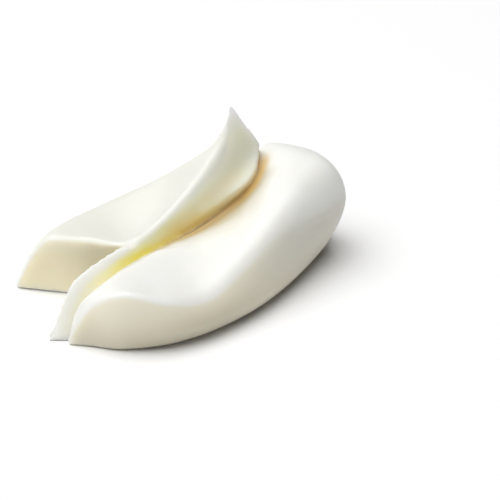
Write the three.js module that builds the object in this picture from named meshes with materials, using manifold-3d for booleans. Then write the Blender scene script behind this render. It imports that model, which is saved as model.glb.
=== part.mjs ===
// A folded piece of soft mozzarella, in millimetres, +Z up, resting on its flat base.
//
// Two thick lobes lie side by side and grow together at the back. Where they
// meet, the skin of the left lobe rises into a lip: thin at its foot in front,
// taller and hollow-faced towards the back, where it leans over the right lobe
// and ends in a point. A knife has taken the front of the left lobe away, so
// there the lip stands on its own beside the right lobe.

import * as THREE from 'three';
import { mergeVertices } from 'three/addons/utils/BufferGeometryUtils.js';
import Module from 'manifold-3d';

// A lobe is a row of cross-sections from its front to its back. Each section
// runs from the rim on the left over the crest to the rim on the right, and its
// side walls drop to the base, spread by the two flares (a negative one tucks in).
// The lists below the sections are sizes along the length, from front to back.

const LIPPED_LOBE = {
  sections: [
    { left: [-29.2, -27.2, 1], crest: [-29.2, -27.2, 1], right: [-29.2, -27.2, 1], flares: [0, 0] },
    { left: [-29.6, -24.6, 1.2], crest: [-27.4, -26.3, 2.8], right: [-24.2, -27.2, 2], flares: [0.6, 0.3] },
    { left: [-34, -14, 8], crest: [-25.3, -25, 9.1], right: [-17.8, -24.6, 8.8], flares: [5.5, 3] },
    { left: [-33.6, -3, 15.2], crest: [-22.7, -22.4, 13.4], right: [-14.6, -19.4, 12.2], flares: [8.3, 4] },
    { left: [-28.9, 8, 15.6], crest: [-15.9, -14.4, 16.4], right: [-9.2, -12.4, 13.3], flares: [8, 4] },
    { left: [-20.5, 18, 15.6], crest: [-6.8, -4.6, 19.1], right: [2.4, 0.5, 15.6], flares: [7, 1.5] },
    { left: [-9.5, 24.5, 18.4], crest: [1.7, 4.6, 24.3], right: [11.2, 6.9, 19.2], flares: [6, 0] },
    { left: [-1, 27.5, 21.3], crest: [8.2, 10.5, 30.1], right: [18, 11, 23.1], flares: [4.5, 0] },
    { left: [7.5, 29, 22.7], crest: [12.2, 14.5, 36], right: [21.2, 15.9, 26.2], flares: [3.5, -2] },
    { left: [21.5, 24, 29.9], crest: [13.7, 17, 44], right: [21.5, 24, 29.9], flares: [2, -2] },
  ],
  leftBulge: [0, 0.5, 0.7, 1.6, 2, 2],
  rightBulge: [0, 0, 0, 0, -0.5, -2, -4, -4.5, -4, -1],
  // how late each side of the top rises towards the crest: 1 is straight, more is hollow
  leftHollow: [1, 3, 6, 8, 9, 8, 3, 1.1, 0.8, 1],
  rightHollow: [1, 0.8, 0.8, 0.9, 1, 1.4, 2.4, 3.6, 4, 1.5],
  leftDip: [0, 0, -0.2, -0.6, -0.8, 1.1, 1.2, 0.3, 0, 0],
  leftSwell: [0, 0, 0, 0, 0, 0, 0, 0.1, 0.6, 0],
  baseRadius: [0.6, 0.6],
  leftRadius: [0, 4, 5, 5, 5, 5, 4],
  crestRadius: [0.5, 1, 2.5, 3.5, 3.5, 3, 2.6, 2.4, 1.8, 0.4],
  rightRadius: [0.3, 1, 1, 1.6, 1.6, 1.2],
};

const FULL_LOBE = {
  sections: [
    { left: [-25, -29, 0], crest: [-25, -29, 0], right: [-25, -29, 0], flares: [0, 0] },
    { left: [-22.2, -27.6, 9.5], crest: [-20, -28.4, 10.4], right: [-18.5, -29.9, 11.2], flares: [0, 0.4] },
    { left: [-16.8, -24.5, 14], crest: [-13.5, -27, 14.6], right: [-10.5, -31, 15.4], flares: [0, 1.5] },
    { left: [-10.2, -14.8, 15.3], crest: [-4.5, -21, 14], right: [-0.5, -29.5, 12.8], flares: [0, 2] },
    { left: [-2.5, -5, 16], crest: [4, -13.5, 13.5], right: [8.3, -23.5, 11.2], flares: [0, 3.1] },
    { left: [5, 5, 15.4], crest: [12.5, -4, 15.8], right: [16.3, -13.9, 15.8], flares: [0, 4.7] },
    { left: [10.5, 13.5, 17], crest: [19.5, 4.5, 20], right: [25.6, -2.4, 22.2], flares: [0, 3.4] },
    { left: [15, 21, 19], crest: [24.5, 12, 26], right: [35.2, 8, 23.6], flares: [0, -1] },
    { left: [18.5, 27, 25.2], crest: [27.5, 20.5, 28.7], right: [43, 17, 25.2], flares: [0, -6] },
    { left: [21.5, 30.5, 27], crest: [29, 26.5, 28.1], right: [41, 25, 24.1], flares: [0.5, -4.4] },
    { left: [25.5, 32, 24.3], crest: [30, 30.5, 25], right: [36.8, 30.3, 22], flares: [0.5, -2] },
    { left: [30.5, 32.5, 18], crest: [30.5, 32.5, 18], right: [30.5, 32.5, 18], flares: [0, 0] },
  ],
  leftBulge: [0, 0.4, 0.5, 1, 2, 2.5],
  rightBulge: [0, 1.2, 2.2, 2.6, 3.2, 3.5, 3.5, 2.5],
  leftHollow: [1, 1, 1, 1, 0.9, 0.75, 0.7, 0.7, 0.8, 1, 1, 1],
  rightHollow: [1, 1, 1, 1, 0.9, 0.7, 0.6, 0.7],
  leftDip: [0, 0],
  leftSwell: [0, 0],
  baseRadius: [0.8, 5, 6, 5, 4, 4],
  leftRadius: [0.5, 0.8, 1, 1.8, 4, 4.5, 4.5, 5, 7, 8, 8, 8],
  crestRadius: [2, 6],
  rightRadius: [0.5, 1.2, 1.6, 3, 6, 9, 9, 8],
};

// The knife's cut through the front of the left lobe, and the lip it leaves.
const CUT_Y = -10.6; // where the knife's plane crosses x = 0
const CUT_SLOPE = -0.2; // how far the plane runs back for each millimetre of x
const LIP_FOOT_THICKNESS = 2.3;
const LIP_TAPER = 0.1; // thickness lost for each millimetre of height

// Facets: rings along a lobe, and points along each edge of a ring.
const RINGS = 46;
const END_CROWDING = 0.7; // 0 spaces the rings evenly, 1 crowds them at both ends
const POINTS = { base: 2, wall: 5, top: 11, corner: 3 };
const LONGEST_CORNER = 0.45; // most of an edge that the rounding at one end may take
const WELD_DISTANCE = 1e-3;
const KNIFE = { low: -5, high: 30, far: -60, steps: 30, fineStep: 0.001 };

function curveThrough(points) {
  const vectors = points.map(([x, y, z]) => new THREE.Vector3(x, y, z));
  return new THREE.CatmullRomCurve3(vectors, false, 'catmullrom', 0.5);
}

function sizeAt(values, t) {
  return curveThrough(values.map((value) => [value, 0, 0])).getPoint(t).x;
}

// Level direction pointing out of the lobe: side 1 is left of the way along, -1 right.
function sideways(curve, t, side) {
  const along = curve.getTangent(t).setZ(0).normalize();
  return new THREE.Vector3(-along.y * side, along.x * side, 0);
}

// A straight wall from foot to rim, bulging outwards at half height.
function wallEdge(foot, rim, outward, bulge) {
  return (s) => foot.clone().lerp(rim, s).addScaledVector(outward, bulge * Math.sin(Math.PI * s));
}

// The top from a rim to the crest. The dip lowers it and the swell pushes it out.
function topEdge(rim, crest, hollow, dip = 0, outward = new THREE.Vector3(), swell = 0) {
  return (s) => {
    const point = rim.clone().lerp(crest, s);
    point.z = rim.z + (crest.z - rim.z) * s ** hollow - dip * Math.sin(Math.PI * s ** 2);
    return point.addScaledVector(outward, swell * Math.sin(Math.PI * s ** 3));
  };
}

function reversed(edge) {
  return (s) => edge(1 - s);
}

function edgeLength(edge, steps = 8) {
  let length = 0;
  for (let i = 0; i < steps; i++) length += edge(i / steps).distanceTo(edge((i + 1) / steps));
  return Math.max(length, WELD_DISTANCE);
}

// The six edges of a ring, from the middle of the base round by the left, with
// the radius that rounds the corner after each one.
function ringEdges(lobe, t) {
  const rows = lobe.sections;
  const curves = ['left', 'crest', 'right'].map((key) => curveThrough(rows.map((row) => row[key])));
  const [left, crest, right] = curves.map((curve) => curve.getPoint(t));
  const outLeft = sideways(curves[0], t, 1);
  const outRight = sideways(curves[2], t, -1);
  const flare = (index) => sizeAt(rows.map((row) => row.flares[index]), t);
  const footLeft = left.clone().addScaledVector(outLeft, flare(0)).setZ(0);
  const footRight = right.clone().addScaledVector(outRight, flare(1)).setZ(0);
  const middle = footLeft.clone().lerp(footRight, 0.5);
  const size = (key) => sizeAt(lobe[key], t);
  const lean = sideways(curves[1], t, 1);
  const topLeft = topEdge(left, crest, size('leftHollow'), size('leftDip'), lean, size('leftSwell'));
  const topRight = topEdge(right, crest, size('rightHollow'));
  return [
    { edge: wallEdge(middle, footLeft, outLeft, 0), points: POINTS.base, corner: footLeft,
      radius: size('baseRadius') },
    { edge: wallEdge(footLeft, left, outLeft, size('leftBulge')), points: POINTS.wall, corner: left,
      radius: size('leftRadius') },
    { edge: topLeft, points: POINTS.top, corner: crest, radius: size('crestRadius') },
    { edge: reversed(topRight), points: POINTS.top, corner: right, radius: size('rightRadius') },
    { edge: reversed(wallEdge(footRight, right, outRight, size('rightBulge'))), points: POINTS.wall,
      corner: footRight, radius: size('baseRadius') },
    { edge: wallEdge(footRight, middle, outRight, 0), points: POINTS.base, corner: middle, radius: 0 },
  ];
}

// One closed ring of points. Each corner is rounded by a parabola that leaves
// one edge and meets the next at the corner's radius.
function ringPoints(lobe, t) {
  const edges = ringEdges(lobe, t);
  const lengths = edges.map(({ edge }) => edgeLength(edge));
  const share = (radius, length) => Math.min(radius / length, LONGEST_CORNER);
  const ring = [];
  edges.forEach(({ edge, points, corner, radius }, i) => {
    const before = i > 0 ? share(edges[i - 1].radius, lengths[i]) : 0;
    const end = 1 - share(radius, lengths[i]);
    const last = i === edges.length - 1;
    for (let k = 0; k < (last ? points - 1 : points); k++) {
      ring.push(edge(before + ((end - before) * k) / (points - 1)));
    }
    if (last) return;
    const next = edges[i + 1].edge(share(radius, lengths[i + 1]));
    const bend = new THREE.QuadraticBezierCurve3(edge(end), corner, next);
    for (let k = 1; k < POINTS.corner; k++) ring.push(bend.getPoint(k / POINTS.corner));
  });
  return ring;
}

// Joins rings into a closed skin. An end ring is closed by a strip between the
// points of its left half and those of its right half.
function skin(rings) {
  const count = rings[0].length;
  const index = [];
  const quad = (a, b, c, d) => index.push(a, b, c, a, c, d);
  for (let i = 0; i < rings.length - 1; i++) {
    const here = i * count;
    for (let j = 0; j < count; j++) {
      const next = (j + 1) % count;
      quad(here + j, here + next, here + count + next, here + count + j);
    }
  }
  const back = (rings.length - 1) * count;
  for (let j = 0; j < count / 2; j++) {
    const mirrored = (count - j) % count;
    quad(mirrored, count - j - 1, j + 1, j);
    quad(back + j, back + j + 1, back + count - j - 1, back + mirrored);
  }
  return closedGeometry(rings.flat().flatMap((point) => point.toArray()), index);
}

function closedGeometry(positions, index) {
  const geometry = new THREE.BufferGeometry();
  geometry.setAttribute('position', new THREE.Float32BufferAttribute(positions, 3));
  geometry.setIndex(index);
  return geometry;
}

function loft(lobe) {
  const rings = [];
  for (let i = 0; i < RINGS; i++) {
    const even = i / (RINGS - 1);
    const crowded = (1 - Math.cos(Math.PI * even)) / 2;
    rings.push(ringPoints(lobe, THREE.MathUtils.lerp(even, crowded, END_CROWDING)));
  }
  return skin(rings);
}

// How far behind the knife's plane a point lies, measured along Y.
function beyondCut(point) {
  return point.y - CUT_Y - CUT_SLOPE * point.x;
}

// The space that the knife clears: all in front of its plane and left of the
// lip, whose back slopes so that the lip is thinner at its edge than at its foot.
function knifeSpace() {
  const crest = curveThrough(LIPPED_LOBE.sections.map((row) => row.crest));
  const lipBack = (t, z) => {
    const thickness = LIP_FOOT_THICKNESS - LIP_TAPER * z;
    return crest.getPoint(t).addScaledVector(sideways(crest, t, 1), thickness).setZ(z);
  };
  const planeReached = (z) => {
    let t = 0;
    while (beyondCut(lipBack(t, z)) < 0) t += KNIFE.fineStep;
    return t;
  };
  const ends = [planeReached(KNIFE.low), planeReached(KNIFE.high)];
  const farAlongPlane = ({ x, y, z }) =>
    new THREE.Vector3(KNIFE.far, y + CUT_SLOPE * (KNIFE.far - x), z);
  const ringThrough = (low, high) => [farAlongPlane(low), farAlongPlane(high), high, low];
  const rings = [];
  for (let i = 0; i <= KNIFE.steps; i++) {
    const share = i / KNIFE.steps;
    rings.push(ringThrough(lipBack(ends[0] * share, KNIFE.low), lipBack(ends[1] * share, KNIFE.high)));
  }
  const front = rings[0].map((point) => point.clone().setY(KNIFE.far));
  return skin([front, ...rings]);
}

const wasm = await Module();
wasm.setup();

function toSolid(geometry) {
  const welded = mergeVertices(geometry, WELD_DISTANCE);
  const corners = welded.index.array;
  const triVerts = [];
  for (let i = 0; i < corners.length; i += 3) {
    const [a, b, c] = corners.slice(i, i + 3);
    if (a !== b && b !== c && c !== a) triVerts.push(a, b, c);
  }
  const vertProperties = new Float32Array(welded.attributes.position.array);
  const mesh = new wasm.Mesh({ numProp: 3, vertProperties, triVerts: new Uint32Array(triVerts) });
  return new wasm.Manifold(mesh);
}

function toGeometry(solid) {
  const { vertProperties, triVerts } = solid.getMesh();
  return closedGeometry(Array.from(vertProperties), Array.from(triVerts));
}

// Puts the middle of the base at the origin.
function centreOnBase(geometry) {
  geometry.computeBoundingBox();
  const { min, max } = geometry.boundingBox;
  return geometry.translate(-(min.x + max.x) / 2, -(min.y + max.y) / 2, -min.z);
}

const lippedLobe = toSolid(loft(LIPPED_LOBE)).subtract(toSolid(knifeSpace()));
const wholePiece = lippedLobe.add(toSolid(loft(FULL_LOBE)));
const geometry = centreOnBase(toGeometry(wholePiece));
geometry.computeVertexNormals();

const mozzarella = new THREE.Mesh(
  geometry,
  new THREE.MeshStandardMaterial({ color: 0xf6f3e6, roughness: 0.45, metalness: 0 }),
);
mozzarella.name = 'mozzarella';

const model = new THREE.Group();
model.add(mozzarella);
export default model;
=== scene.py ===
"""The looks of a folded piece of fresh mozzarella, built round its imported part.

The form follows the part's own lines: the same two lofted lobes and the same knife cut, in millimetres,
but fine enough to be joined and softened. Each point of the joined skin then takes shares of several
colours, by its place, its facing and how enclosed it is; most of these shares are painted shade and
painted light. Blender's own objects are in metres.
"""

import math
from collections import namedtuple

import bmesh
import bpy
import numpy as np
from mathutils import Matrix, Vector
from mathutils.bvhtree import BVHTree
from mathutils.kdtree import KDTree


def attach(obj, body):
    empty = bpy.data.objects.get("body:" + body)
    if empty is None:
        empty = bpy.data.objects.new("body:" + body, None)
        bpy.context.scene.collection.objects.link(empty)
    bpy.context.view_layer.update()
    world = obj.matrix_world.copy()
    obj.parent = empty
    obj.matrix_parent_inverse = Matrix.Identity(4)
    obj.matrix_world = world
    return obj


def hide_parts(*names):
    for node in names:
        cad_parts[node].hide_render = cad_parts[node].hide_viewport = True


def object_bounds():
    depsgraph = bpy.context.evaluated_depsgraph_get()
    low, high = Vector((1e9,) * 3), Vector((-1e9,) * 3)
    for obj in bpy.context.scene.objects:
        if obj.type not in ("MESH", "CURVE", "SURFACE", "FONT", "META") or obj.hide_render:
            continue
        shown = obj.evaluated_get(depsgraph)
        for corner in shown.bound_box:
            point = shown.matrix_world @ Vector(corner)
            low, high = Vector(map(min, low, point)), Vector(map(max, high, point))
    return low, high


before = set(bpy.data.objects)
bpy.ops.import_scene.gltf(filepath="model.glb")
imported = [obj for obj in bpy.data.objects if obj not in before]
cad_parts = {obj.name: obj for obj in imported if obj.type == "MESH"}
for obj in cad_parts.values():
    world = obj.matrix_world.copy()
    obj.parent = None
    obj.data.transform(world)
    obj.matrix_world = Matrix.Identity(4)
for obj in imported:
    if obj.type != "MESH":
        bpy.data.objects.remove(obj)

CAD_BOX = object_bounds()
MM = 0.001
LEVEL = np.array([1, 1, 0])

# ---------------------------------------------------------------------------------------------
# Form, in millimetres: the same sections and sizes as the part, front to back.
# A section is its left rim, its crest, its right rim and the flares of its left and right walls.
# The rows under the sections are sizes at even distances along the lobe: how far the walls bulge, how
# late each half of the top rises to the crest, how far its left half dips and swells out, and the radii.

LIPPED_LOBE = {
    "sections": [
        ((-29.2, -27.2, 1), (-29.2, -27.2, 1), (-29.2, -27.2, 1), (0, 0)),
        ((-29.6, -24.6, 1.2), (-27.4, -26.3, 2.8), (-24.2, -27.2, 2), (0.6, 0.3)),
        ((-34, -14, 8), (-25.3, -25, 9.1), (-17.8, -24.6, 8.8), (5.5, 3)),
        ((-33.6, -3, 15.2), (-22.7, -22.4, 13.4), (-14.6, -19.4, 12.2), (8.3, 4)),
        ((-28.9, 8, 15.6), (-15.9, -14.4, 16.4), (-9.2, -12.4, 13.3), (8, 4)),
        ((-20.5, 18, 15.6), (-6.8, -4.6, 19.1), (2.4, 0.5, 15.6), (7, 1.5)),
        ((-9.5, 24.5, 18.4), (1.7, 4.6, 24.3), (11.2, 6.9, 19.2), (6, 0)),
        ((-1, 27.5, 21.3), (8.2, 10.5, 30.1), (18, 11, 23.1), (4.5, 0)),
        ((7.5, 29, 22.7), (12.2, 14.5, 36), (21.2, 15.9, 26.2), (3.5, -2)),
        ((21.5, 24, 29.9), (13.7, 17, 44), (21.5, 24, 29.9), (2, -2)),
    ],
    "left_bulge": (0, 0.5, 0.7, 1.6, 2, 2),
    "right_bulge": (0, 0, 0, 0, -0.5, -2, -4, -4.5, -4, -1),
    "left_hollow": (1, 3, 6, 8, 9, 8, 3, 1.1, 0.8, 1),
    "right_hollow": (1, 0.8, 0.8, 0.9, 1, 1.4, 2.4, 3.6, 4, 1.5),
    "left_dip": (0, 0, -0.2, -0.6, -0.8, 1.1, 1.2, 0.3, 0, 0),
    "left_swell": (0, 0, 0, 0, 0, 0, 0, 0.1, 0.6, 0),
    "base_radius": (0.6, 0.6),
    "left_radius": (0, 4, 5, 5, 5, 5, 4),
    "crest_radius": (0.5, 1, 2.5, 3.5, 3.5, 3, 2.6, 2.4, 1.8, 0.4),
    "right_radius": (0.3, 1, 1, 1.6, 1.6, 1.2),
}

FULL_LOBE = {
    "sections": [
        ((-25, -29, 0), (-25, -29, 0), (-25, -29, 0), (0, 0)),
        ((-22.2, -27.6, 9.5), (-20, -28.4, 10.4), (-18.5, -29.9, 11.2), (0, 0.4)),
        ((-16.8, -24.5, 14), (-13.5, -27, 14.6), (-10.5, -31, 15.4), (0, 1.5)),
        ((-10.2, -14.8, 15.3), (-4.5, -21, 14), (-0.5, -29.5, 12.8), (0, 2)),
        ((-2.5, -5, 16), (4, -13.5, 13.5), (8.3, -23.5, 11.2), (0, 3.1)),
        ((5, 5, 15.4), (12.5, -4, 15.8), (16.3, -13.9, 15.8), (0, 4.7)),
        ((10.5, 13.5, 17), (19.5, 4.5, 20), (25.6, -2.4, 22.2), (0, 3.4)),
        ((15, 21, 19), (24.5, 12, 26), (35.2, 8, 23.6), (0, -1)),
        ((18.5, 27, 25.2), (27.5, 20.5, 28.7), (43, 17, 25.2), (0, -6)),
        ((21.5, 30.5, 27), (29, 26.5, 28.1), (41, 25, 24.1), (0.5, -4.4)),
        ((25.5, 32, 24.3), (30, 30.5, 25), (36.8, 30.3, 22), (0.5, -2)),
        ((30.5, 32.5, 18), (30.5, 32.5, 18), (30.5, 32.5, 18), (0, 0)),
    ],
    "left_bulge": (0, 0.4, 0.5, 1, 2, 2.5),
    "right_bulge": (0, 1.2, 2.2, 2.6, 3.2, 3.5, 3.5, 2.5),
    "left_hollow": (1, 1, 1, 1, 0.9, 0.75, 0.7, 0.7, 0.8, 1, 1, 1),
    "right_hollow": (1, 1, 1, 1, 0.9, 0.7, 0.6, 0.7),
    "left_dip": (0, 0),
    "left_swell": (0, 0),
    "base_radius": (0.8, 5, 6, 5, 4, 4),
    "left_radius": (0.5, 0.8, 1, 1.8, 4, 4.5, 4.5, 5, 7, 8, 8, 8),
    "crest_radius": (2, 6),
    "right_radius": (0.5, 1.2, 1.6, 3, 6, 9, 9, 8),
}

LIP_CREST = [section[1] for section in LIPPED_LOBE["sections"]]

CUT_Y = -10.6
CUT_SLOPE = -0.2
LIP_FOOT_THICKNESS = 2.3
LIP_TAPER = 0.1
KNIFE = {"low": -5, "high": 30, "far": -60, "steps": 80, "fine_step": 0.001}

# Fineness: rings along a lobe, and points along each edge of a ring and round each of its corners.
# A corner takes no more than a share of the edges that it rounds.
RINGS = 160
END_CROWDING = 0.7
POINTS = {"base": 6, "wall": 22, "top": 50, "corner": 8}
LONGEST_CORNER = 0.45
TANGENT_STEP = 1e-4
LENGTH_STEPS = 8
LEAST_LENGTH = 1e-4

# Two parts of a ring take colours of their own: its top right of the crest, with the corner at the right
# rim, and its right wall, with the corner at the right foot. A ring's edges are counted from 0.
PLAIN, FACE, WALL = 0, 1, 2
PART_OF_EDGE = {3: FACE, 4: WALL}

# Joining: points this near are one point, edges this short are none, and the width of a voxel.
SAME_POINT = 0.002
NO_LENGTH = 0.0001
VOXEL = 0.4

# Rounding. The lip's tip, above TIP_Z, and its foot, in front of FOOT_Y, keep sharper edges.
SHRINK = 0.5
GROW = -0.505
ROUNDING_PASSES = 6
EDGE_PASSES = 30
TIP_Z = (38, 41.5)
FOOT_Y = (-27, -23)

# Enclosure, by rays from one point of the skin in SAMPLE_STEP. A normal whose Z is UPRIGHT or more counts
# as upright.
RAYS = 32
RAY_REACH = 25
RAY_START = 0.05
SAMPLE_STEP = 8
UPRIGHT = 0.9
ENCLOSURE_PASSES = 24

# Softening of the deep crease, and of a band about the knife's plane as far right as SOFT_BAND_END
SOFT_CREASE = (0.33, 0.6)
SOFT_BAND = 1.6
SOFT_BAND_END = -8
SOFTENING = 0.5
SOFT_PASSES = 60

# Passes that blur a share over the skin
EDGE_BLUR = 3
LIP_BLUR = 4
GLOW_BLUR = 4
KNIFE_BLUR = 6
FACE_BLUR = 8
SHADE_BLUR = 70

# Where colours lie. A pair is the start and the end of a smooth rise, and a pair of pairs is a rise and
# a fall. The end of a name says what is measured: x, y and z in millimetres, t along a lobe from 0 to 1,
# closed for enclosure and facing for a part of the normal. Other numbers are shares, apart from the
# power that moves the deepest line of the hollow face towards the crest or away from it.
# The cut faces' colour: creamier than the skin, and partly painted shade of faces turned from the light
FRONT_CUT_AND_SHADE = {
    "share": 0.7,
    "end_t": (0.45, 0.85),
    "t_per_z": 0.02,
    "even_z": 8,
    "upper_z": (4, 13),
    "upper_loss": 0.3,
}
KNIFE_FACE = {"depth_y": 0.6, "y_facing": -0.8, "upper_z": (9, 15), "upper_loss": 0.35}
# Where the painted warm shade lies in the hollow of the lip's face
HOLLOW = {"power": 0.7, "start_t": (0.55, 0.7), "end_t": (0.8, 0.95), "end_loss": 0.7}
LIP_BACK = {"behind_cut_y": 0.4, "thickness_share": 0.6}
# Shares of the painted crease shade
CREASE = {
    "outside": 0.35,
    "between": 0.65,
    "face_loss": 0.93,
    "front_y": (-26, -17),
    "front_loss": 0.7,
    "back_y": (11, 19),
    "back_loss": 0.85,
    "lip_back": 0.15,
    "middle_gain": 0.7,
    "middle_y": ((-12, 0), (6, 13)),
    "gain_closed": (0.1, 0.25),
    "gain_end_closed": (0.3, 0.5),
}
LIP_GLOW = {"neck_y": ((-28, -9), (3, 14)), "closed": (0.04, 0.25), "x_facing": -0.2}
KNIFE_GLOW = {"share": 0.35, "closed": (0, 0.5)}
BACK_GLOW = {
    "share": 0.7,
    "y": ((6, 12), (19, 24)),
    "closed": (0.12, 0.35),
    "z_facing": -0.3,
    "lip_loss": 0.5,
}
AMBER_Y = (-11, 3)
# The opened face's painted light fades towards the lip's foot
LIP_FACE = {"front_y": (-25, -14), "front_loss": 0.75}
# The lipped lobe's creamier skin, darkened with painted shade, ends towards its far left
LEFT_CREAM_AND_SHADE_X = (-46, -30)
UNDER = {"down_facing": (0, 0.8), "recess": 0.55, "recess_closed": (0, 0.25), "wall": 0.9}
FOOT_SHADE = {"least": 0.06, "front": 0.55, "growth": 0.49, "growth_t": (0.12, 0.28), "up_z": (1, 10.5)}
SIDE_SHADE = {"front": 0.27, "growth": 0.24, "growth_t": (0.45, 0.7), "end_t": (0.85, 1)}
FOOT_TO_SIDE_T = (0.33, 0.55)

# Colours
SKIN = (0.91, 0.915, 0.875, 1)
SKIN_CREAMY = (0.91, 0.905, 0.855, 1)
# The cut faces: creamier than the skin, and partly painted shade of faces turned from the light
CUT_FACE_AND_SHADE = (0.89, 0.82, 0.61, 1)
# The lipped lobe's creamier skin, darkened with painted shade
LEFT_CREAM_AND_SHADE = (0.8, 0.8, 0.715, 1)
# The face that the fold opened: creamier, and brighter than the skin as painted light
OPENED_FACE_CREAM_AND_LIGHT = (1, 0.975, 0.82, 1)
GLOW = (0.92, 0.82, 0.19, 1)
GLOW_AMBER = (0.94, 0.76, 0.33, 1)
GLOW_BROWN = (0.76, 0.49, 0.12, 1)
# Painted warm shade in the hollow of the lip's face
HOLLOW_WARM_SHADE = (1, 0.85, 0.63, 1)
UNDERSIDE = (0.55, 0.505, 0.395, 1)
# Painted shade: the darker, warmer colour that light takes on between near faces of the cheese, by how
# enclosed a point is
PAINTED_CREASE_SHADE = (
    (0.03, (0.91, 0.905, 0.84, 1)),
    (0.08, (0.79, 0.77, 0.69, 1)),
    (0.14, (0.65, 0.6, 0.47, 1)),
    (0.26, (0.56, 0.46, 0.27, 1)),
    (0.42, (0.52, 0.38, 0.19, 1)),
    (0.5, (0.58, 0.42, 0.2, 1)),
    (0.6, (0.7, 0.52, 0.25, 1)),
)
PAINTED_CREASE_SHADE_START = (0, 0.06)
LEFT_CREAM_AND_SHADE_SHARE = (0, 0.6)

# The cheese's substance and fine grain. Patterns are made in metres.
SUBSTANCE = {
    "Subsurface Weight": 1.0,
    "Subsurface Radius": (1.0, 0.98, 0.92),
    "Subsurface Scale": 3.5 * MM,
    "IOR": 1.4,
    "Specular IOR Level": 0.5,
    "Coat Weight": 0.1,
    "Coat Roughness": 0.3,
}
CLOUDS = {"scale": 90, "detail": 3, "roughness": 0.5}
CLOUD_EDGES = (0.35, 0.65)
GLOSS = {"scale": 700, "detail": 4, "roughness": 0.6}
GLOSS_ROUGHNESS = (0.36, 0.52)
FIBRES = {"scale": 900, "detail": 5, "roughness": 0.6}
FIBRE_TURN = (0, 0, math.radians(-50))
FIBRE_STRETCH = (0.35, 1, 1)
BUMP_STRENGTH = 0.12
BUMP_DEPTH = 0.4 * MM

# Floor, lights and camera. The floor and the lights are in metres, and the camera in millimetres.
FLOOR_SIZE = 6
FLOOR_LOOK = {"Base Color": (0.99, 0.99, 0.99, 1), "Roughness": 0.9}
LIGHTS = {
    "key": {"place": (-0.58, 0.05, 2.15), "size": 3, "power": 79.5},
    "fill": {"place": (-0.5, -1.5, 0.9), "size": 1.5, "power": 4},
}
WHITE = (1, 1, 1, 1)
WORLD_STRENGTH = 0.02
CAMERA_TARGET = (18.9, 19.4, 0)
CAMERA_DISTANCE = 375
CAMERA_ELEVATION = math.radians(28)
CAMERA_LENS = 100
SENSOR = 36


# ---------------------------------------------------------------------------------------------
# Curves and lofts

# A lobe as closed rings of points, the part that each place in a ring belongs to, and the rings' shares
# of the way along the lobe.
Loft = namedtuple("Loft", "rings parts t")


def spline(points, t):
    """Points at the shares t of a uniform Catmull-Rom curve, whose ends run on straight."""
    given = np.asarray(points, float)
    spans = len(given) - 1
    held = np.vstack([2 * given[0] - given[1], given, 2 * given[-1] - given[-2]])
    place = np.clip(np.asarray(t, float), 0, 1) * spans
    span = np.minimum(place.astype(int), spans - 1)
    f = (place - span)[..., None]
    a, b, c, d = (held[span + k] for k in range(4))
    linear = (c - a) * f
    square = (2 * a - 5 * b + 4 * c - d) * f**2
    cube = (3 * b - a - 3 * c + d) * f**3
    return (2 * b + linear + square + cube) / 2


def size_at(values, t):
    return spline(np.asarray(values, float)[:, None], t)


def sideways(points, t, side):
    """Level directions out of the lobe at the shares t: side 1 is left of the way along, -1 right."""
    ahead = spline(points, np.minimum(t + TANGENT_STEP, 1))
    along = (ahead - spline(points, np.maximum(t - TANGENT_STEP, 0)))[:, :2]
    along /= np.linalg.norm(along, axis=1, keepdims=True)
    return np.stack([-along[:, 1] * side, along[:, 0] * side, np.zeros(len(t))], axis=1)


def wall_edge(foot, rim, outward, bulge):
    """A straight wall from foot to rim, bulging outwards at half height."""

    def points(s):
        s = s[..., None]
        straight = foot[:, None] + (rim - foot)[:, None] * s
        return straight + (outward * bulge)[:, None] * np.sin(np.pi * s)

    return points


def top_edge(rim, crest, hollow, dip, lean):
    """The top from a rim to the crest: how late it rises, how far it dips, how far it leans out."""

    def points(s):
        s = s[..., None]
        point = rim[:, None] + (crest - rim)[:, None] * s
        rise = (crest - rim)[:, None, 2:] * s ** hollow[:, None]
        point[..., 2:] = rim[:, None, 2:] + rise - dip[:, None] * np.sin(np.pi * s**2)
        return point + lean[:, None] * np.sin(np.pi * s**3)

    return points


def reversed_edge(edge):
    return lambda s: edge(1 - s)


def edge_lengths(edge, count):
    steps = np.tile(np.linspace(0, 1, LENGTH_STEPS + 1), (count, 1))
    lengths = np.linalg.norm(np.diff(edge(steps), axis=1), axis=2).sum(axis=1)
    return np.maximum(lengths, LEAST_LENGTH)[:, None]


def corner_share(radius, length):
    """How much of an edge its corner takes."""
    return np.minimum(radius / length, LONGEST_CORNER)


def rounded_corner(leaving, corner, meeting):
    """Points between the end of one edge and the start of the next, bent round their corner."""
    bend = (np.arange(1, POINTS["corner"]) / POINTS["corner"])[None, :, None]
    curved = leaving * (1 - bend) ** 2 + corner[:, None] * 2 * bend * (1 - bend)
    return curved + meeting * bend**2


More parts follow.
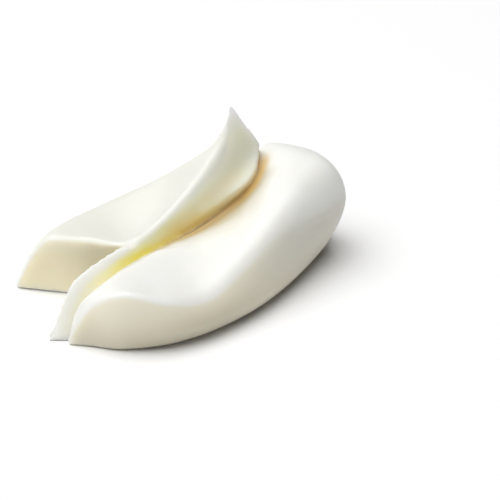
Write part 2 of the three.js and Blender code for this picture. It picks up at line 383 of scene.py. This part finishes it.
def lobe_rings(lobe, t):
    """The closed rings of a lobe at the shares t, and the part that each place in a ring belongs to."""
    left_rim, crest_line, right_rim, flares = zip(*lobe["sections"])
    left, crest, right = (spline(line, t) for line in (left_rim, crest_line, right_rim))
    out_left = sideways(left_rim, t, 1)
    out_right = sideways(right_rim, t, -1)
    flare = spline(flares, t)
    foot_left = (left + out_left * flare[:, :1]) * LEVEL
    foot_right = (right + out_right * flare[:, 1:]) * LEVEL
    middle = (foot_left + foot_right) / 2
    size = {key: size_at(values, t) for key, values in lobe.items() if key != "sections"}
    still = np.zeros((len(t), 1))
    lean = sideways(crest_line, t, 1) * size["left_swell"]
    edges = [
        wall_edge(middle, foot_left, out_left, still),
        wall_edge(foot_left, left, out_left, size["left_bulge"]),
        top_edge(left, crest, size["left_hollow"], size["left_dip"], lean),
        reversed_edge(top_edge(right, crest, size["right_hollow"], still, lean * 0)),
        reversed_edge(wall_edge(foot_right, right, out_right, size["right_bulge"])),
        wall_edge(foot_right, middle, out_right, still),
    ]
    counts = [POINTS[key] for key in ("base", "wall", "top", "top", "wall", "base")]
    corners = [foot_left, left, crest, right, foot_right]
    rounded = ("base_radius", "left_radius", "crest_radius", "right_radius", "base_radius")
    radii = [size[key] for key in rounded]
    lengths = [edge_lengths(edge, len(t)) for edge in edges]
    starts = [still] + [corner_share(radius, length) for radius, length in zip(radii, lengths[1:])]
    ends = [1 - corner_share(radius, length) for radius, length in zip(radii, lengths)] + [still + 1]
    stretches, parts = [], []
    for i, edge in enumerate(edges):
        steps = np.linspace(0, 1, counts[i])
        if i < len(corners):
            stretch = edge(starts[i] + (ends[i] - starts[i]) * steps)
            corner = rounded_corner(edge(ends[i]), corners[i], edges[i + 1](starts[i + 1]))
            stretch = np.concatenate([stretch, corner], axis=1)
        else:
            # The last point would be the ring's first one again.
            stretch = edge(starts[i] + (ends[i] - starts[i]) * steps[:-1])
        stretches.append(stretch)
        parts += [PART_OF_EDGE.get(i, PLAIN)] * stretch.shape[1]
    return np.concatenate(stretches, axis=1), np.array(parts)


def loft(lobe):
    """A lobe as rings that stand closer together towards its ends."""
    even = np.linspace(0, 1, RINGS)
    crowded = (1 - np.cos(np.pi * even)) / 2
    t = even + (crowded - even) * END_CROWDING
    rings, parts = lobe_rings(lobe, t)
    return Loft(rings, parts, t)


def skin(rings):
    """Points and faces that join rings into a closed skin. Strips across the end rings close them."""
    count = rings.shape[1]
    here = np.arange(len(rings) - 1)[:, None] * count + np.arange(count)
    beside = np.arange(len(rings) - 1)[:, None] * count + (np.arange(count) + 1) % count
    faces = np.stack([here, beside, beside + count, here + count], axis=-1).reshape(-1, 4).tolist()
    back = (len(rings) - 1) * count
    for j in range(count // 2):
        mirrored = (count - j) % count
        faces.append([mirrored, count - j - 1, j + 1, j])
        faces.append([back + j, back + j + 1, back + count - j - 1, back + mirrored])
    return rings.reshape(-1, 3), [list(dict.fromkeys(face)) for face in faces]


def beyond_cut(points):
    """How far behind the knife's plane the points lie, measured along Y."""
    return points[:, 1] - CUT_Y - CUT_SLOPE * points[:, 0]


def lip_thickness(z):
    return LIP_FOOT_THICKNESS - LIP_TAPER * z


def knife_rings():
    """The space that the knife clears, left of the lip and in front of the knife's plane."""

    def lip_back(t, z):
        back = spline(LIP_CREST, t) + sideways(LIP_CREST, t, 1) * lip_thickness(z)
        back[:, 2] = z
        return back

    def plane_reached(z):
        t = np.arange(0, 1, KNIFE["fine_step"])
        return t[np.argmax(beyond_cut(lip_back(t, z)) >= 0)]

    share = np.linspace(0, 1, KNIFE["steps"] + 1)
    low = lip_back(share * plane_reached(KNIFE["low"]), KNIFE["low"])
    high = lip_back(share * plane_reached(KNIFE["high"]), KNIFE["high"])
    far_low, far_high = low.copy(), high.copy()
    for far in (far_low, far_high):
        far[:, 1] += CUT_SLOPE * (KNIFE["far"] - far[:, 0])
        far[:, 0] = KNIFE["far"]
    rings = np.stack([far_low, far_high, high, low], axis=1)
    front = rings[:1].copy()
    front[..., 1] = KNIFE["far"]
    return np.concatenate([front, rings])


# ---------------------------------------------------------------------------------------------
# Meshes


def new_object(name, points, faces):
    """A mesh object with its double points joined, at the same size in metres."""
    mesh = bpy.data.meshes.new(name)
    mesh.from_pydata((points * MM).tolist(), [], faces)
    shell = bmesh.new()
    shell.from_mesh(mesh)
    bmesh.ops.remove_doubles(shell, verts=shell.verts, dist=SAME_POINT * MM)
    bmesh.ops.dissolve_degenerate(shell, edges=shell.edges, dist=NO_LENGTH * MM)
    bmesh.ops.recalc_face_normals(shell, faces=shell.faces)
    shell.to_mesh(mesh)
    shell.free()
    made = bpy.data.objects.new(name, mesh)
    bpy.context.scene.collection.objects.link(made)
    return made


def apply_modifiers(target):
    """Turns the object's modifiers into its own mesh."""
    graph = bpy.context.evaluated_depsgraph_get()
    old = target.data
    target.data = bpy.data.meshes.new_from_object(target.evaluated_get(graph))
    target.modifiers.clear()
    bpy.data.meshes.remove(old)


def combine(target, other, operation):
    """Cuts the other object from the target, or joins it on, and removes the other."""
    modifier = target.modifiers.new(operation, "BOOLEAN")
    modifier.operation = operation
    modifier.solver = "MANIFOLD"
    modifier.object = other
    apply_modifiers(target)
    bpy.data.objects.remove(other)


def remesh(target):
    modifier = target.modifiers.new("even", "REMESH")
    modifier.mode = "VOXEL"
    modifier.voxel_size = VOXEL * MM
    apply_modifiers(target)


class Surface:
    """The points and edges of a mesh as arrays, in millimetres."""

    def __init__(self, mesh):
        self.mesh = mesh
        self.count = len(mesh.vertices)
        points = np.empty(self.count * 3)
        mesh.vertices.foreach_get("co", points)
        self.points = points.reshape(-1, 3) / MM
        edges = np.empty(len(mesh.edges) * 2, int)
        mesh.edges.foreach_get("vertices", edges)
        edges = edges.reshape(-1, 2)
        self.here = np.concatenate([edges[:, 0], edges[:, 1]])
        self.there = np.concatenate([edges[:, 1], edges[:, 0]])
        self.links = np.bincount(self.here, minlength=self.count)

    def around(self, values):
        """The mean of each point's neighbours' values."""
        columns = values.reshape(self.count, -1)
        sums = [np.bincount(self.here, column[self.there], self.count) for column in columns.T]
        return (np.stack(sums, axis=1) / self.links[:, None]).reshape(values.shape)

    def blurred(self, values, passes):
        for _ in range(passes):
            values = (values + self.around(values)) / 2
        return values

    def ease(self, strength, share=1.0):
        """Moves each point towards the mean of its neighbours, or away from it below 0."""
        self.points += (self.around(self.points) - self.points) * strength * share

    def even_out(self, passes, share=1.0):
        """Takes away small unevenness and keeps the size, as each pass shrinks and grows again."""
        for _ in range(passes):
            self.ease(SHRINK, share)
            self.ease(GROW, share)

    def normals(self):
        self.store()
        normals = np.empty(self.count * 3)
        self.mesh.vertices.foreach_get("normal", normals)
        return normals.reshape(-1, 3)

    def store(self):
        self.mesh.vertices.foreach_set("co", (self.points * MM).ravel())
        self.mesh.update()


def add_attribute(mesh, name, values):
    attribute = mesh.attributes.new(name, "FLOAT", "POINT")
    attribute.data.foreach_set("value", values.astype(np.float32))


def nearest_places(points, known_points):
    """For each point, the number of the known point that is nearest to it."""
    tree = KDTree(len(known_points))
    for i, point in enumerate(known_points):
        tree.insert(point, i)
    tree.balance()
    return np.array([tree.find(point)[1] for point in points])


def smooth_step(window, values):
    """A smooth rise from 0, where the window starts, to 1, where it ends."""
    low, high = window
    share = np.clip((values - low) / (high - low), 0, 1)
    return share * share * (3 - 2 * share)


def within(rise, fall, values):
    """1 between a smooth rise and a smooth fall, and 0 outside them."""
    return smooth_step(rise, values) * (1 - smooth_step(fall, values))


# ---------------------------------------------------------------------------------------------
# The joined and softened form


def spread_directions(count):
    """Directions over a half sphere about +Z, spread evenly by the share of light they carry."""
    number = np.arange(count) + 0.5
    across = np.sqrt(number / count)
    turn = number * math.pi * (3 - math.sqrt(5))
    return np.stack([across * np.cos(turn), across * np.sin(turn), np.sqrt(1 - across**2)], axis=1)


def enclosure(surface):
    """How much of what each point looks out on is the cheese itself, near by: from 0 to 1."""
    normals = surface.normals()
    faces = [list(polygon.vertices) for polygon in surface.mesh.polygons]
    tree = BVHTree.FromPolygons(surface.points.tolist(), faces)
    sampled = np.arange(0, surface.count, SAMPLE_STEP)
    found = np.empty(len(sampled))
    outward = normals[sampled]
    helper = np.where(np.abs(outward[:, 2:]) < UPRIGHT, [[0, 0, 1]], [[1, 0, 0]])
    first = np.cross(helper, outward)
    first /= np.linalg.norm(first, axis=1, keepdims=True)
    second = np.cross(outward, first)
    local = spread_directions(RAYS)
    for i, place in enumerate(sampled):
        directions = local @ np.stack([first[i], second[i], outward[i]])
        start = surface.points[place] + outward[i] * RAY_START
        distances = [tree.ray_cast(start, direction, RAY_REACH)[3] for direction in directions.tolist()]
        found[i] = sum(1 - d / RAY_REACH for d in distances if d is not None) / RAYS
    spread = found[nearest_places(surface.points, surface.points[sampled])]
    return surface.blurred(spread, ENCLOSURE_PASSES)


def round_off(surface):
    """Rounds the whole form a little, and then all but the lip's tip and foot more."""
    surface.even_out(ROUNDING_PASSES)
    thick = (1 - smooth_step(TIP_Z, surface.points[:, 2])) * smooth_step(FOOT_Y, surface.points[:, 1])
    surface.even_out(EDGE_PASSES, thick[:, None])


def soften(surface, enclosed):
    """Softens the bottom of the crease and the edges that the knife left."""
    from_cut = np.abs(beyond_cut(surface.points)) + SOFT_BAND * (surface.points[:, 0] > SOFT_BAND_END)
    near_cut = 1 - smooth_step((0.5 * SOFT_BAND, SOFT_BAND), from_cut)
    softness = surface.blurred(np.maximum(near_cut, smooth_step(SOFT_CREASE, enclosed)), EDGE_BLUR)
    for _ in range(SOFT_PASSES):
        surface.ease(SOFTENING, softness[:, None])


def base_centre(points):
    """The middle of the points' box, at its lowest height."""
    low, high = points.min(axis=0), points.max(axis=0)
    return np.array([(low[0] + high[0]) / 2, (low[1] + high[1]) / 2, low[2]])


# ---------------------------------------------------------------------------------------------
# Where the colours lie


def front_cut_and_shade(lobe):
    """The cut face on a lobe's right wall: creamier than the skin, and partly painted shade of a face
    turned from the light. It ends sooner high up, and is fainter there.
    """
    height = lobe.rings[:, :, 2]
    along = lobe.t[:, None] + FRONT_CUT_AND_SHADE["t_per_z"] * (height - FRONT_CUT_AND_SHADE["even_z"])
    share = FRONT_CUT_AND_SHADE["share"] * (lobe.parts == WALL) * (1 - smooth_step(FRONT_CUT_AND_SHADE["end_t"], along))
    return share * (1 - FRONT_CUT_AND_SHADE["upper_loss"] * smooth_step(FRONT_CUT_AND_SHADE["upper_z"], height))


def wall_shade(lobe):
    """The shade on a lobe's right wall: strongest at its foot in front, even over it further back."""
    height = lobe.rings[:, :, 2]
    along = lobe.t[:, None]
    foot = FOOT_SHADE["front"] + FOOT_SHADE["growth"] * smooth_step(FOOT_SHADE["growth_t"], along)
    foot = FOOT_SHADE["least"] + foot * (1 - smooth_step(FOOT_SHADE["up_z"], height))
    side = SIDE_SHADE["front"] + SIDE_SHADE["growth"] * smooth_step(SIDE_SHADE["growth_t"], along)
    side = side * (1 - smooth_step(SIDE_SHADE["end_t"], along))
    further_back = smooth_step(FOOT_TO_SIDE_T, along)
    return (lobe.parts == WALL) * (foot * (1 - further_back) + side * further_back)


def hollow_shade_of_face(lobe):
    """Painted warm shade in the deepest part of the hollow face right of a lobe's crest, towards the back
    of the lobe.
    """
    on_face = lobe.parts == FACE
    across = np.where(on_face, np.cumsum(on_face) / np.sum(on_face), 0)
    ending = 1 - HOLLOW["end_loss"] * smooth_step(HOLLOW["end_t"], lobe.t)
    along = smooth_step(HOLLOW["start_t"], lobe.t) * ending
    return np.sin(np.pi * across ** HOLLOW["power"]) ** 2 * along[:, None]


class Looks:
    """The share of each colour at each point of the skin."""

    def __init__(self, surface, enclosed, full, lipped):
        self.surface = surface
        self.enclosed = enclosed
        self.full = full
        self.lipped = lipped
        self.x, self.y, self.z = surface.points.T
        self.facing_x, self.facing_y, self.facing_z = surface.normals().T
        known = np.concatenate([full.rings.reshape(-1, 3), lipped.rings.reshape(-1, 3)])
        self.nearest = nearest_places(surface.points, known)
        self.on_lobe = self.taken(0, 1)
        self.near_lobe = surface.blurred(self.on_lobe, LIP_BLUR)
        self.on_face = surface.blurred(self.taken(0, lipped.parts == FACE), FACE_BLUR)
        self.beyond_cut = beyond_cut(surface.points)
        near_cut = np.abs(self.beyond_cut) < KNIFE_FACE["depth_y"]
        self.knife_face = (near_cut & (self.facing_y < KNIFE_FACE["y_facing"])) * 1.0
        self.near_knife = surface.blurred(self.knife_face, KNIFE_BLUR)
        facing_crease = self.taken(1, lipped.parts != PLAIN) * (1 - self.knife_face)
        self.between = surface.blurred(facing_crease, EDGE_BLUR)
        self.lip_back = self.back_of_lip()

    def taken(self, on_full, on_lipped):
        """The value at the nearest place of the full or the lipped lobe, for each point of the skin."""
        spread = []
        for values, lobe in ((on_full, self.full), (on_lipped, self.lipped)):
            spread.append(np.broadcast_to(np.asarray(values, float), lobe.rings.shape[:2]).ravel())
        return np.concatenate(spread)[self.nearest]

    def back_of_lip(self):
        """The lip's left side, which the knife laid open."""
        crest = spline(LIP_CREST, self.lipped.t) * LEVEL
        to_left = sideways(LIP_CREST, self.lipped.t, 1)
        in_plan = self.surface.points * LEVEL
        beside = nearest_places(in_plan, crest)
        offset = np.sum((in_plan - crest[beside]) * to_left[beside], axis=1)
        left_of_lip = offset > LIP_BACK["thickness_share"] * lip_thickness(self.z)
        in_notch = self.beyond_cut < LIP_BACK["behind_cut_y"]
        return self.surface.blurred((in_notch & left_of_lip) * 1.0, EDGE_BLUR)

    def cut(self):
        """The faces that the knife cut, the full lobe's front and the lipped lobe's: creamier than the
        skin, and partly painted shade of faces turned from the light.
        """
        fading = KNIFE_FACE["upper_loss"] * smooth_step(KNIFE_FACE["upper_z"], self.z)
        cut = np.maximum(self.taken(front_cut_and_shade(self.full), 0), self.knife_face * (1 - fading))
        return self.surface.blurred(cut, EDGE_BLUR)

    # Painted warm shade in the hollow of the lip's face
    def hollow(self):
        return self.surface.blurred(self.taken(0, hollow_shade_of_face(self.lipped)), FACE_BLUR)

    # Painted shade in the crease, darker and warmer the more enclosed a point is
    def crease(self):
        """Enclosure, less where the photo shows little warmth and more in the middle of the crease."""
        in_front = 1 - smooth_step(CREASE["front_y"], self.y)
        at_back = smooth_step(CREASE["back_y"], self.y)
        share = CREASE["outside"] + CREASE["between"] * self.between
        share = share * (1 - self.on_face * CREASE["face_loss"])
        share = share * (1 - CREASE["front_loss"] * in_front) * (1 - CREASE["back_loss"] * at_back)
        share = share * (1 - self.lip_back) + CREASE["lip_back"] * self.lip_back
        gain = CREASE["middle_gain"] * within(*CREASE["middle_y"], self.y)
        gain = gain * smooth_step(CREASE["gain_closed"], self.enclosed)
        gain = gain * (1 - smooth_step(CREASE["gain_end_closed"], self.enclosed))
        return self.enclosed * (share * (1 - self.near_knife) * (1 + gain))

    def glow(self):
        """The yellow of light that comes through the lip's neck, and a little low on the cut face."""
        in_neck = within(*LIP_GLOW["neck_y"], self.y)
        lit = self.on_lobe * in_neck * smooth_step(LIP_GLOW["closed"], self.enclosed)
        lit = self.surface.blurred(lit * (self.facing_x > LIP_GLOW["x_facing"]), GLOW_BLUR)
        on_cut = KNIFE_GLOW["share"] * self.near_knife * smooth_step(KNIFE_GLOW["closed"], self.enclosed)
        return lit * self.between * (1 - self.lip_back) + on_cut

    def brown(self):
        """The deeper colour of the same light near the back of the crease."""
        lit = within(*BACK_GLOW["y"], self.y) * smooth_step(BACK_GLOW["closed"], self.enclosed)
        lit = lit * (self.facing_z > BACK_GLOW["z_facing"]) * (1 - self.on_lobe * BACK_GLOW["lip_loss"])
        return BACK_GLOW["share"] * (self.surface.blurred(lit, GLOW_BLUR) * self.between)

    def amber(self):
        """How far the glow turns from yellow to amber, towards the back."""
        return smooth_step(AMBER_Y, self.y)

    def face(self):
        """The pale, creamy face right of the lip's crest, brighter than the skin as painted light, and
        fainter at the lip's foot.
        """
        in_front = 1 - smooth_step(LIP_FACE["front_y"], self.y)
        return self.on_face * (1 - self.lip_back) * (1 - LIP_FACE["front_loss"] * in_front)

    def left(self):
        """The creamier skin of the lipped lobe, darkened with painted shade, which ends towards its far
        left.
        """
        return self.near_lobe * smooth_step(LEFT_CREAM_AND_SHADE_X, self.x)

    def under(self):
        """The shade of what faces down, of the foot of the knife's face and of the full lobe's wall."""
        down = smooth_step(UNDER["down_facing"], -self.facing_z) * (1 - self.on_lobe)
        recess = UNDER["recess"] * self.near_knife * smooth_step(UNDER["recess_closed"], self.enclosed)
        wall = self.surface.blurred(self.taken(wall_shade(self.full), 0), SHADE_BLUR)
        return np.maximum(np.maximum(down, recess), UNDER["wall"] * wall * (1 - self.near_lobe))


# ---------------------------------------------------------------------------------------------
# Materials


class Nodes:
    """A material's node tree, with short ways to add nodes and wire them."""

    def __init__(self, name):
        self.material = bpy.data.materials.new(name)
        self.material.use_nodes = True
        self.tree = self.material.node_tree
        self.shader = self.tree.nodes["Principled BSDF"]

    def add(self, kind, settings=None, **inputs):
        made = self.tree.nodes.new(kind)
        for key, value in (settings or {}).items():
            setattr(made, key, value)
        for key, value in inputs.items():
            self.feed(made.inputs[key.replace("_", " ")], value)
        return made

    def feed(self, socket, value):
        if isinstance(value, bpy.types.NodeSocket):
            self.tree.links.new(value, socket)
        else:
            socket.default_value = value

    def feed_shader(self, values):
        for key, value in values.items():
            self.feed(self.shader.inputs[key], value)

    def attribute(self, name):
        return self.add("ShaderNodeAttribute", {"attribute_name": name}).outputs["Fac"]

    def mix(self, share, first, second):
        """Two colours mixed. The node's sockets go by number, as those of other data share their names."""
        made = self.add("ShaderNodeMix", {"data_type": "RGBA"})
        for socket, value in ((0, share), (6, first), (7, second)):
            self.feed(made.inputs[socket], value)
        return made.outputs[2]

    def noise(self, place, scale, detail, roughness):
        made = self.add("ShaderNodeTexNoise", Vector=place, Scale=scale, Detail=detail, Roughness=roughness)
        return made.outputs["Fac"]

    def ramp(self, value, stops):
        made = self.add("ShaderNodeValToRGB", Fac=value)
        elements = made.color_ramp.elements
        while len(elements) < len(stops):
            elements.new(1.0)
        for element, (position, colour) in zip(elements, stops):
            element.position = position
            element.color = colour
        return made.outputs["Color"]

    def ranged(self, value, given=(0, 1), wanted=(0, 1)):
        """The value stretched from the given range to the wanted one."""
        limits = {"From_Min": given[0], "From_Max": given[1], "To_Min": wanted[0], "To_Max": wanted[1]}
        return self.add("ShaderNodeMapRange", Value=value, **limits).outputs["Result"]


def cheese_material():
    """Skin, with the other colours laid over it by their shares; most of them are painted shade and light.
    """
    nodes = Nodes("fresh_mozzarella")
    place = nodes.add("ShaderNodeTexCoord").outputs["Object"]
    cloudy = nodes.ranged(nodes.noise(place, **CLOUDS), given=CLOUD_EDGES)
    skin_colour = nodes.mix(cloudy, SKIN, SKIN_CREAMY)
    # The lipped lobe's creamier skin, darkened with painted shade
    left = nodes.ranged(nodes.attribute("left"), wanted=LEFT_CREAM_AND_SHADE_SHARE)
    # The cut faces' colour, partly painted shade
    colour = nodes.mix(nodes.attribute("cut"), nodes.mix(left, skin_colour, LEFT_CREAM_AND_SHADE), CUT_FACE_AND_SHADE)
    # The opened face, creamier and brighter as painted light
    colour = nodes.mix(nodes.attribute("face"), colour, OPENED_FACE_CREAM_AND_LIGHT)
    # Painted warm shade in the hollow of the lip's face
    colour = nodes.mix(nodes.attribute("hollow"), colour, HOLLOW_WARM_SHADE)
    # Painted shade in the crease
    enclosed = nodes.attribute("crease")
    warm = nodes.ramp(enclosed, PAINTED_CREASE_SHADE)
    colour = nodes.mix(nodes.ranged(enclosed, given=PAINTED_CREASE_SHADE_START), colour, warm)
    glow_colour = nodes.mix(nodes.attribute("amber"), GLOW, GLOW_AMBER)
    colour = nodes.mix(nodes.attribute("glow"), colour, glow_colour)
    colour = nodes.mix(nodes.attribute("brown"), colour, GLOW_BROWN)
    colour = nodes.mix(nodes.attribute("under"), colour, UNDERSIDE)
    roughness = nodes.ranged(nodes.noise(place, **GLOSS), wanted=GLOSS_ROUGHNESS)
    stretched = nodes.add("ShaderNodeMapping", Vector=place, Rotation=FIBRE_TURN, Scale=FIBRE_STRETCH)
    fibres = nodes.noise(stretched.outputs["Vector"], **FIBRES)
    bump = nodes.add("ShaderNodeBump", Height=fibres, Strength=BUMP_STRENGTH, Distance=BUMP_DEPTH)
    nodes.feed_shader({"Base Color": colour, "Roughness": roughness, "Normal": bump.outputs["Normal"]})
    nodes.feed_shader(SUBSTANCE)
    return nodes.material


def floor_material():
    nodes = Nodes("white_floor")
    nodes.feed_shader(FLOOR_LOOK)
    return nodes.material


# ---------------------------------------------------------------------------------------------
# The cheese

full_lobe = loft(FULL_LOBE)
lipped_lobe = loft(LIPPED_LOBE)

cheese = new_object("folded_cheese", *skin(lipped_lobe.rings))
combine(cheese, new_object("knife", *skin(knife_rings())), "DIFFERENCE")
combine(cheese, new_object("full_lobe", *skin(full_lobe.rings)), "UNION")
remesh(cheese)

surface = Surface(cheese.data)
round_off(surface)
enclosed = enclosure(surface)
soften(surface, enclosed)

looks = Looks(surface, enclosed, full_lobe, lipped_lobe)
# Most of these shares are painted light and shade: all of crease, hollow, glow, brown, amber and under, and
# part of cut, face and left
shares = {
    "cut": looks.cut(),
    "hollow": looks.hollow(),
    "crease": looks.crease(),
    "glow": looks.glow(),
    "brown": looks.brown(),
    "amber": looks.amber(),
    "face": looks.face(),
    "left": looks.left(),
    "under": looks.under(),
}
for name, values in shares.items():
    add_attribute(cheese.data, name, values)

shift = base_centre(surface.points)
surface.points = np.clip(surface.points - shift, *(np.array(CAD_BOX) / MM))
surface.store()
for polygon in cheese.data.polygons:
    polygon.use_smooth = True

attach(cheese, "root")
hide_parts("mozzarella")

cheese.data.materials.clear()
cheese.data.materials.append(cheese_material())

# ---------------------------------------------------------------------------------------------
# Floor, light and camera

bpy.ops.mesh.primitive_plane_add(size=FLOOR_SIZE)
floor = bpy.context.object
floor.name = "floor"
floor.data.materials.append(floor_material())


def area_light(name, place, size, power):
    """A white light that shines on the middle of the base."""
    light = bpy.data.lights.new(name, "AREA")
    light.size = size
    light.energy = power
    made = bpy.data.objects.new(name, light)
    bpy.context.scene.collection.objects.link(made)
    made.location = place
    made.rotation_mode = "QUATERNION"
    made.rotation_quaternion = (-Vector(place)).to_track_quat("-Z", "Y")


for name, setting in LIGHTS.items():
    area_light(name, **setting)

world = bpy.data.worlds.new("studio")
world.use_nodes = True
world.node_tree.nodes["Background"].inputs["Color"].default_value = WHITE
world.node_tree.nodes["Background"].inputs["Strength"].default_value = WORLD_STRENGTH
bpy.context.scene.world = world
bpy.context.scene.view_settings.view_transform = "Standard"

lens = bpy.data.cameras.new("camera")
lens.lens = CAMERA_LENS
lens.sensor_width = SENSOR
camera = bpy.data.objects.new("camera", lens)
bpy.context.scene.collection.objects.link(camera)
target = Vector(CAMERA_TARGET - shift * LEVEL) * MM
back = Vector((0, -math.cos(CAMERA_ELEVATION), math.sin(CAMERA_ELEVATION)))
camera.location = target + back * CAMERA_DISTANCE * MM
camera.rotation_mode = "QUATERNION"
camera.rotation_quaternion = (-back).to_track_quat("-Z", "Y")
bpy.context.scene.camera = camera
